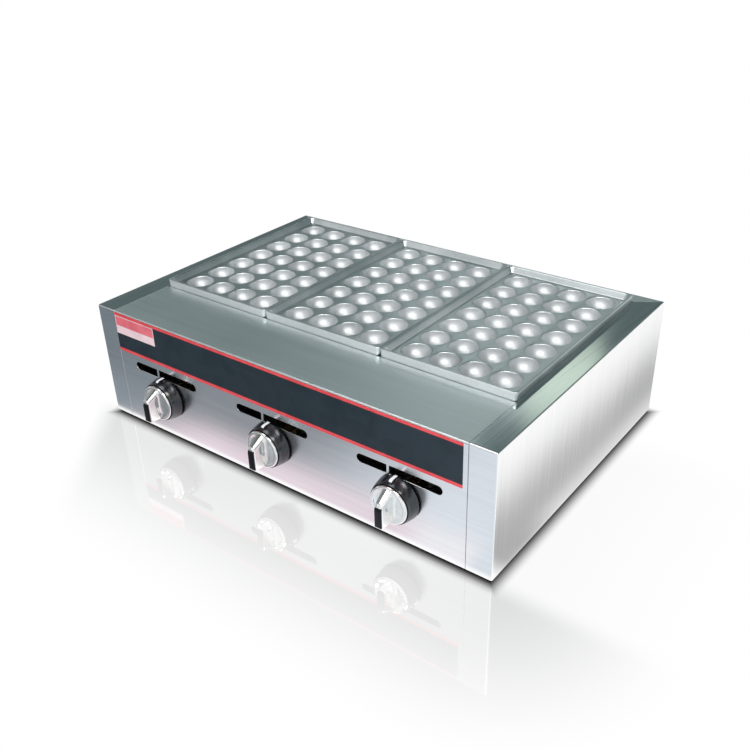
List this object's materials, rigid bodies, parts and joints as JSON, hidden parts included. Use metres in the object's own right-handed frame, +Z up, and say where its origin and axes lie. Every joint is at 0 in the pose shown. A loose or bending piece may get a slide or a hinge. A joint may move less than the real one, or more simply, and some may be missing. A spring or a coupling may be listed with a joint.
{
  "type": "takoyaki maker",
  "caption": "Table-top gas grill with lift-out cast plates of round cups, a brushed steel body, and chrome push-and-turn tap knobs on the front.",
  "frame": {"origin": "on the floor, under the middle of the object's outer box", "axes": "+X to the right seen from the knobs, +Y to the back, +Z up"},
  "size_m": [0.65, 0.5232, 0.189],
  "materials": {
    "steel": "brushed stainless steel sheet, satin",
    "deck_steel": "brushed stainless steel sheet, satin, grain along the width",
    "inner_steel": "plain folded steel sheet",
    "pipe_steel": "plated steel",
    "cast_plate": "cast aluminium, satin with polished cups",
    "iron": "dark cast iron",
    "brass": "machined brass",
    "knob_black": "glossy black phenolic",
    "knob_chrome": "bright chrome plate",
    "rubber": "black rubber",
    "black_band": "satin black film with a thin red line along the top and the bottom",
    "label": "plain red and white film, blank"
  },
  "bodies": {
    "root": {"left_side_panel": "steel", "right_side_panel": "steel", "front_panel": "steel", "front_deck": "deck_steel", "rear_panel": "steel", "bottom_tray": "inner_steel", "front_decal": "black_band", "blank_label": "label", "ledge_front": "inner_steel", "ledge_rear": "inner_steel", "ledge_left": "inner_steel", "ledge_right": "inner_steel", "plate_rail_left": "inner_steel", "plate_rail_right": "inner_steel", "burner_head_left": "iron", "burner_head_middle": "iron", "burner_head_right": "iron", "mixing_tube_left": "iron", "mixing_tube_middle": "iron", "mixing_tube_right": "iron", "injector_left": "brass", "injector_middle": "brass", "injector_right": "brass", "valve_body_left": "brass", "valve_body_middle": "brass", "valve_body_right": "brass", "gas_manifold": "pipe_steel", "inlet_pipe": "pipe_steel", "hose_barb": "brass", "manifold_bracket_left": "inner_steel", "manifold_bracket_right": "inner_steel", "burner_rail_front": "inner_steel", "burner_rail_rear": "inner_steel", "rear_screw_left": "pipe_steel", "rear_screw_right": "pipe_steel", "foot_front_left": "rubber", "foot_front_right": "rubber", "foot_rear_left": "rubber", "foot_rear_right": "rubber"},
    "plate_left": {"plate_left": "cast_plate"},
    "plate_middle": {"plate_middle": "cast_plate"},
    "plate_right": {"plate_right": "cast_plate"},
    "shutter_left": {"air_shutter_left": "inner_steel"},
    "shutter_middle": {"air_shutter_middle": "inner_steel"},
    "shutter_right": {"air_shutter_right": "inner_steel"},
    "tap_left": {"valve_cone_left": "brass"},
    "tap_middle": {"valve_cone_middle": "brass"},
    "tap_right": {"valve_cone_right": "brass"},
    "knob_left": {"spindle_left": "pipe_steel", "knob_skirt_left": "knob_black", "knob_dial_left": "knob_chrome", "knob_inlay_left": "knob_black"},
    "knob_middle": {"spindle_middle": "pipe_steel", "knob_skirt_middle": "knob_black", "knob_dial_middle": "knob_chrome", "knob_inlay_middle": "knob_black"},
    "knob_right": {"spindle_right": "pipe_steel", "knob_skirt_right": "knob_black", "knob_dial_right": "knob_chrome", "knob_inlay_right": "knob_black"}
  },
  "joints": [
    {"name": "plate_lift_left", "type": "slide", "parent": "root", "child": "plate_left", "axis": [0, 0, 1], "range_m": [0, 0.08]},
    {"name": "plate_lift_middle", "type": "slide", "parent": "root", "child": "plate_middle", "axis": [0, 0, 1], "range_m": [0, 0.08]},
    {"name": "plate_lift_right", "type": "slide", "parent": "root", "child": "plate_right", "axis": [0, 0, 1], "range_m": [0, 0.08]},
    {"name": "tap_turn_left", "type": "hinge", "parent": "root", "child": "tap_left", "pos_m": [-0.198, -0.24, 0.0685], "axis": [0, -1, 0], "range_deg": [0, 180]},
    {"name": "knob_push_left", "type": "slide", "parent": "tap_left", "child": "knob_left", "axis": [0, 1, 0], "range_m": [0, 0.002], "stiffness_N_per_m": 800, "springref_m": -0.004},
    {"name": "tap_turn_middle", "type": "hinge", "parent": "root", "child": "tap_middle", "pos_m": [0, -0.24, 0.0685], "axis": [0, -1, 0], "range_deg": [0, 180]},
    {"name": "knob_push_middle", "type": "slide", "parent": "tap_middle", "child": "knob_middle", "axis": [0, 1, 0], "range_m": [0, 0.002], "stiffness_N_per_m": 800, "springref_m": -0.004},
    {"name": "tap_turn_right", "type": "hinge", "parent": "root", "child": "tap_right", "pos_m": [0.198, -0.24, 0.0685], "axis": [0, -1, 0], "range_deg": [0, 180]},
    {"name": "knob_push_right", "type": "slide", "parent": "tap_right", "child": "knob_right", "axis": [0, 1, 0], "range_m": [0, 0.002], "stiffness_N_per_m": 800, "springref_m": -0.004},
    {"name": "shutter_turn_left", "type": "hinge", "parent": "root", "child": "shutter_left", "pos_m": [-0.198, -0.165, 0.0685], "axis": [0, -1, 0], "range_deg": [0, 45]},
    {"name": "shutter_turn_middle", "type": "hinge", "parent": "root", "child": "shutter_middle", "pos_m": [0, -0.165, 0.0685], "axis": [0, -1, 0], "range_deg": [0, 45]},
    {"name": "shutter_turn_right", "type": "hinge", "parent": "root", "child": "shutter_right", "pos_m": [0.198, -0.165, 0.0685], "axis": [0, -1, 0], "range_deg": [0, 45]}
  ]
}
